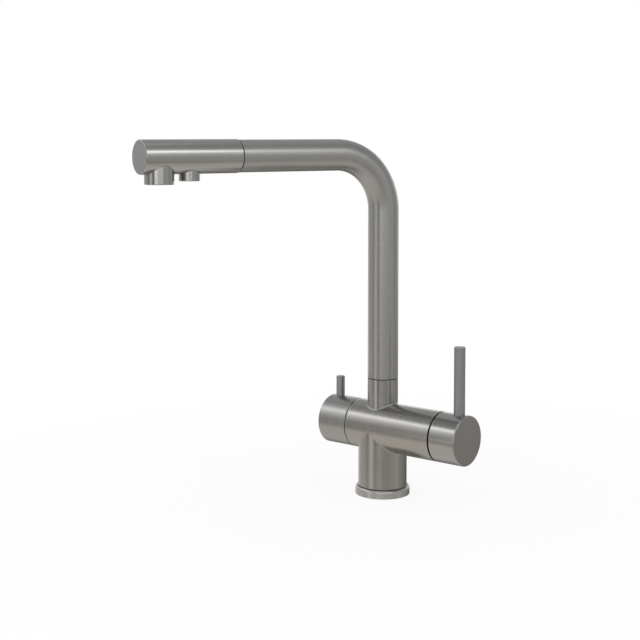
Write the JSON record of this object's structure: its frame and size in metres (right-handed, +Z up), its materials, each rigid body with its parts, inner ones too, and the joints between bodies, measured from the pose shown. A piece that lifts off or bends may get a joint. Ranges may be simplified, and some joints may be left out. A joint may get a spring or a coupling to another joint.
{
  "type": "kitchen mixer tap",
  "caption": "Kitchen mixer tap with a swivelling right-angled spout, a side lever for mixed water and a small lever for filtered water.",
  "frame": {"origin": "on the worktop plane, at the centre of the base ring", "axes": "+Z up along the pillar, +X along the barrel towards the mixer hub, -Y towards the user at the sink"},
  "size_m": [0.1829, 0.2583, 0.327],
  "materials": {
    "brushed_steel": "brushed round the turned pieces, warm grey, satin",
    "hard_steel": "plain stainless screw steel",
    "brass": "machined, bare, inside only",
    "seal_rubber": "matt black moulded rubber",
    "valve_ceramic": "lapped alumina, smooth",
    "white_plastic": "moulded, light grey",
    "black_plastic": "moulded, black"
  },
  "bodies": {
    "tap": {"tap_body": "brushed_steel", "base_ring": "brushed_steel", "base_seal": "seal_rubber", "slip_ring": "black_plastic", "spout_stop_screw": "hard_steel", "filter_nipple": "brass", "cartridge_gasket": "seal_rubber", "cartridge_base": "black_plastic", "cartridge_housing": "white_plastic", "fixed_disc": "valve_ceramic", "cartridge_nut": "brass", "dome_cover": "brushed_steel", "filter_headwork": "brass", "filter_seat_seal": "seal_rubber", "filter_headwork_seal": "seal_rubber", "filter_fixed_disc": "valve_ceramic"},
    "spout": {"spout_tube": "brushed_steel", "spout_foot": "brass", "foot_o_rings": "seal_rubber", "inner_filter_tube": "white_plastic", "outlet_head": "brushed_steel", "head_ring": "black_plastic", "head_o_ring": "seal_rubber", "aerator_collar": "brushed_steel", "aerator_insert": "white_plastic", "aerator_gasket": "seal_rubber", "filter_outlet_collar": "brushed_steel", "filter_outlet_insert": "white_plastic", "filter_outlet_gasket": "seal_rubber"},
    "mixer_turn": {"cartridge_rotor": "white_plastic", "pivot_pin": "hard_steel"},
    "mixer_disc": {"moving_disc": "valve_ceramic", "disc_carrier": "black_plastic"},
    "mixer_handle": {"mixer_stem": "brass", "mixer_hub": "brushed_steel", "mixer_lever": "brushed_steel", "mixer_grub_screw": "hard_steel"},
    "filter_handle": {"filter_moving_disc": "valve_ceramic", "filter_spindle": "brass", "filter_hub": "brushed_steel", "filter_lever": "brushed_steel", "filter_grub_screw": "hard_steel"}
  },
  "joints": [
    {"name": "spout_swivel", "type": "hinge", "parent": "tap", "child": "spout", "pos_m": [0, 0, 0.107], "axis": [0, 0, 1], "range_deg": [-71.5, 108.5]},
    {"name": "mixer_temperature", "type": "hinge", "parent": "tap", "child": "mixer_turn", "pos_m": [0.074, 0, 0.062], "axis": [1, 0, 0], "range_deg": [-45, 45]},
    {"name": "mixer_flow", "type": "hinge", "parent": "mixer_turn", "child": "mixer_handle", "pos_m": [0.074, 0, 0.062], "axis": [0, 1, 0], "range_deg": [0, 20]},
    {"name": "disc_slide", "type": "slide", "parent": "mixer_turn", "child": "mixer_disc", "axis": [0, 0, 1], "range_m": [0, 0.0031]},
    {"name": "filter_valve", "type": "hinge", "parent": "tap", "child": "filter_handle", "pos_m": [-0.035, 0, 0.062], "axis": [1, 0, 0], "range_deg": [0, 90]}
  ],
  "couplings": [
    {"joint": "disc_slide", "follows": "mixer_flow", "m_per_rad": 0.00882}
  ]
}
